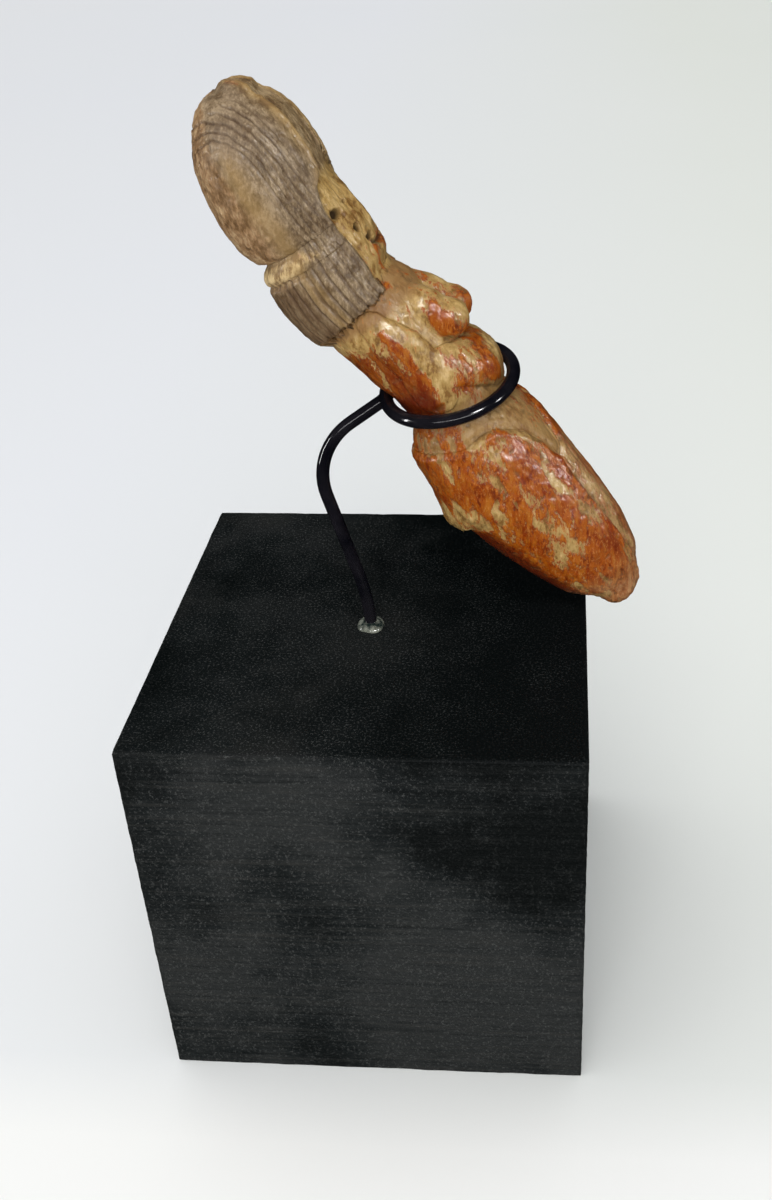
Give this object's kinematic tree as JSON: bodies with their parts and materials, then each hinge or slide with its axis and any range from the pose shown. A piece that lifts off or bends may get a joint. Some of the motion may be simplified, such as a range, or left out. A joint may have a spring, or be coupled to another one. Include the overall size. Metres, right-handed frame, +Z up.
{
  "type": "fertility doll",
  "caption": "Slender fired clay fertility doll with incised hair, leaning in the ring of a bent black rod that stands on a black wooden block.",
  "frame": {"origin": "centre of the block's underside", "axes": "+Z up, +X the way the doll faces, +Y towards the doll's left; the doll leans back 32.3 degrees in the XZ plane"},
  "size_m": [0.0571, 0.0508, 0.1142],
  "materials": {
    "black_stained_wood": "matt black stain over fine saw marks",
    "black_rod": "gloss black lacquer",
    "glue": "clear set adhesive",
    "buff_clay": "burnished buff earthenware",
    "hair_clay": "incised grey-brown earthenware",
    "red_slip_clay": "burnished orange-red slip, worn in patches"
  },
  "bodies": {
    "stand": {"base_block": "black_stained_wood", "support_rod": "black_rod", "glue_bead": "glue"},
    "doll": {"torso": "buff_clay", "head": "buff_clay", "hair_cap": "hair_clay", "hair_tie": "buff_clay", "hair_fall": "hair_clay", "right_breast": "red_slip_clay", "left_breast": "red_slip_clay", "right_arm": "red_slip_clay", "left_arm": "red_slip_clay", "right_leg": "red_slip_clay", "left_leg": "red_slip_clay"}
  },
  "joints": [
    {"name": "doll_turn", "type": "hinge", "parent": "stand", "child": "doll", "pos_m": [0.00992, 0, 0.08252], "axis": [-0.5344, 0, 0.8453], "range_deg": [-12, 12]}
  ]
}
